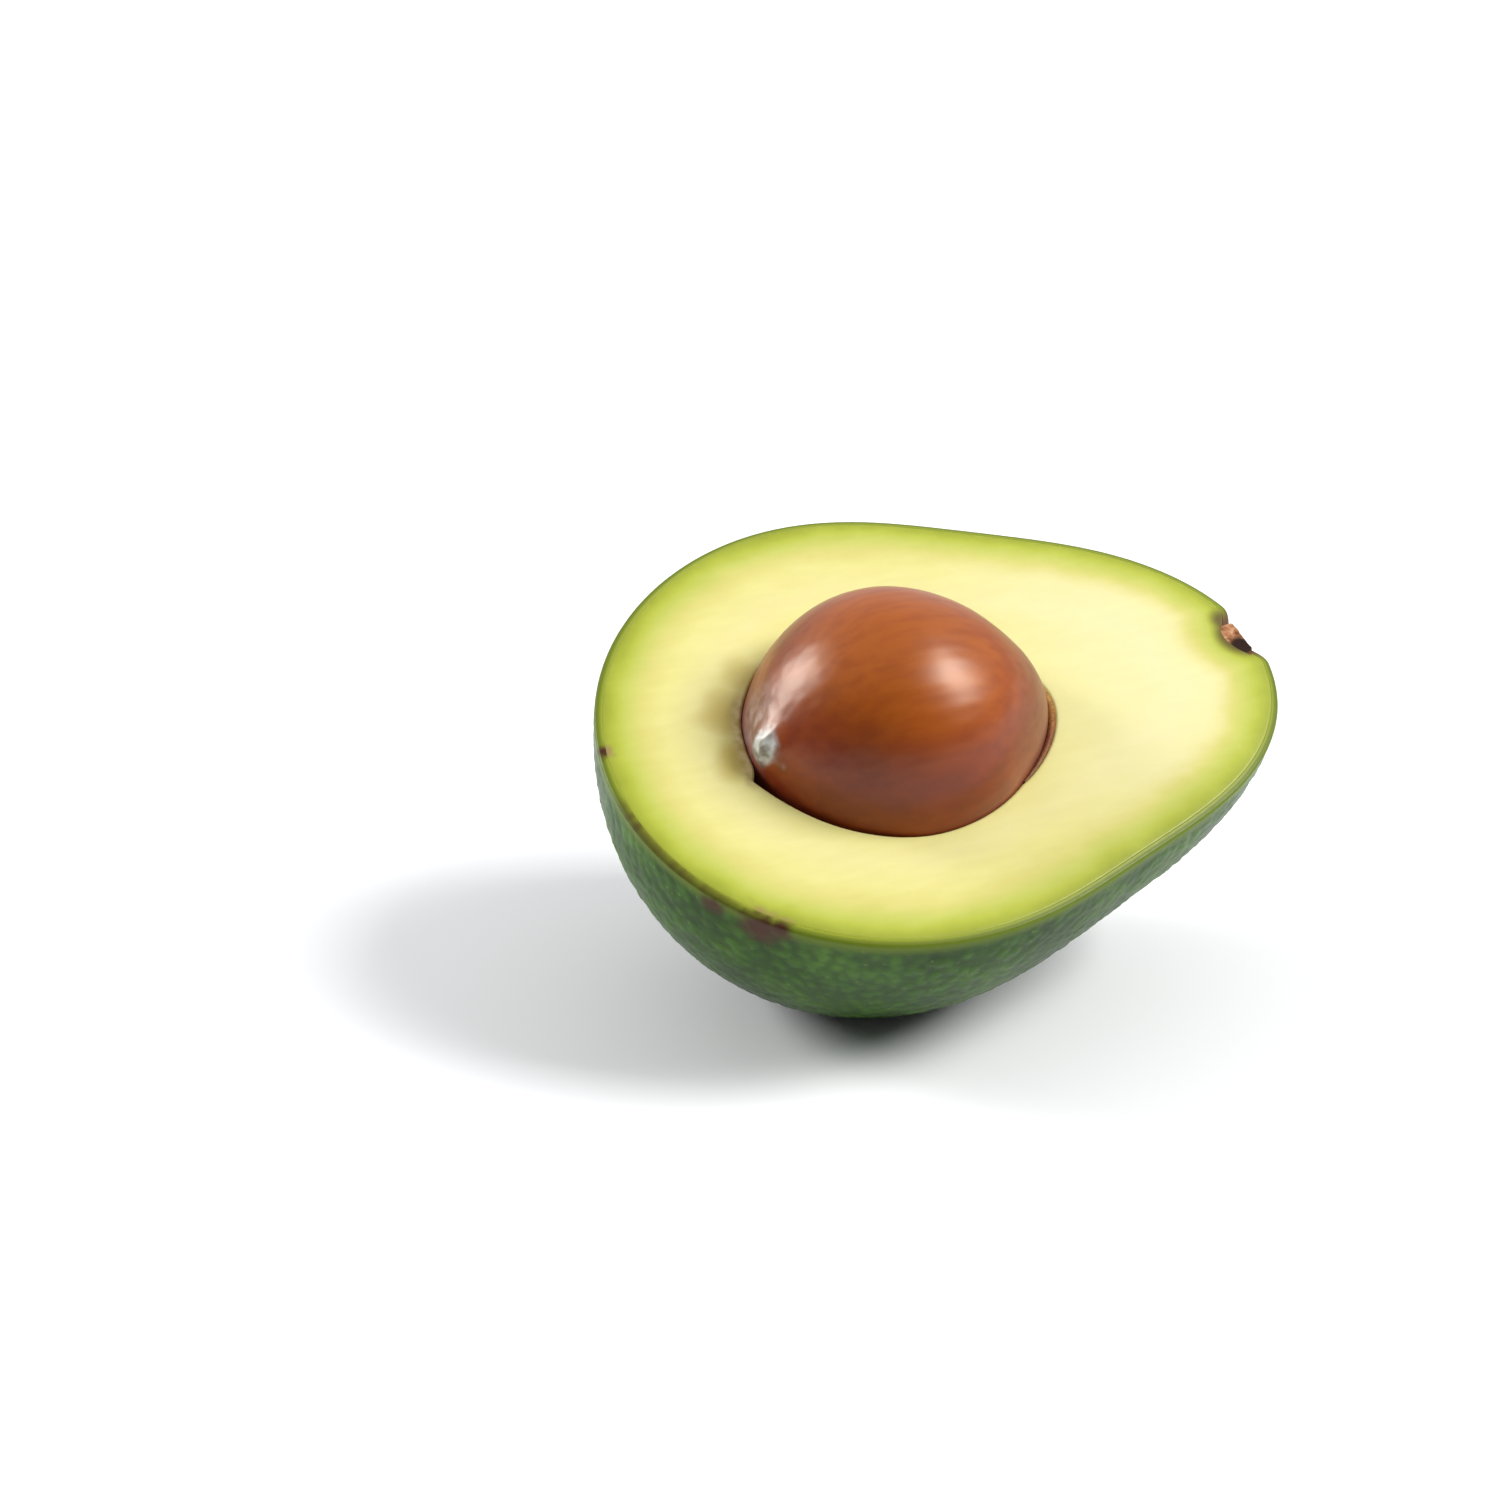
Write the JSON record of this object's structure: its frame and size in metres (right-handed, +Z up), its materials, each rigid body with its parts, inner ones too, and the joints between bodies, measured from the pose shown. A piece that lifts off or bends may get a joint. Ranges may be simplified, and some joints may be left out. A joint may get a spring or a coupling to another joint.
{
  "type": "avocado half",
  "caption": "Half of a ripe avocado, cut lengthwise, with its large brown seed still seated in the yellow-green flesh.",
  "frame": {"origin": "centre of the small flat spot of the peel that the half rests on", "axes": "+X towards the stem end, +Z up, and the cut face, 24 degrees off level, leans towards -Y"},
  "size_m": [0.0937, 0.0713, 0.0556],
  "materials": {
    "peel": "green, finely pebbled, waxy sheen",
    "flesh": "moist, yellow near the seed and green towards the peel",
    "seed": "smooth, satin, chestnut brown",
    "seed_coat": "papery, dark brown",
    "stem_button": "dry, fibrous, tan and brown"
  },
  "bodies": {
    "root": {"peel": "peel", "flesh": "flesh", "seed": "seed", "seed_coat": "seed_coat", "stem_button": "stem_button"}
  },
  "joints": []
}
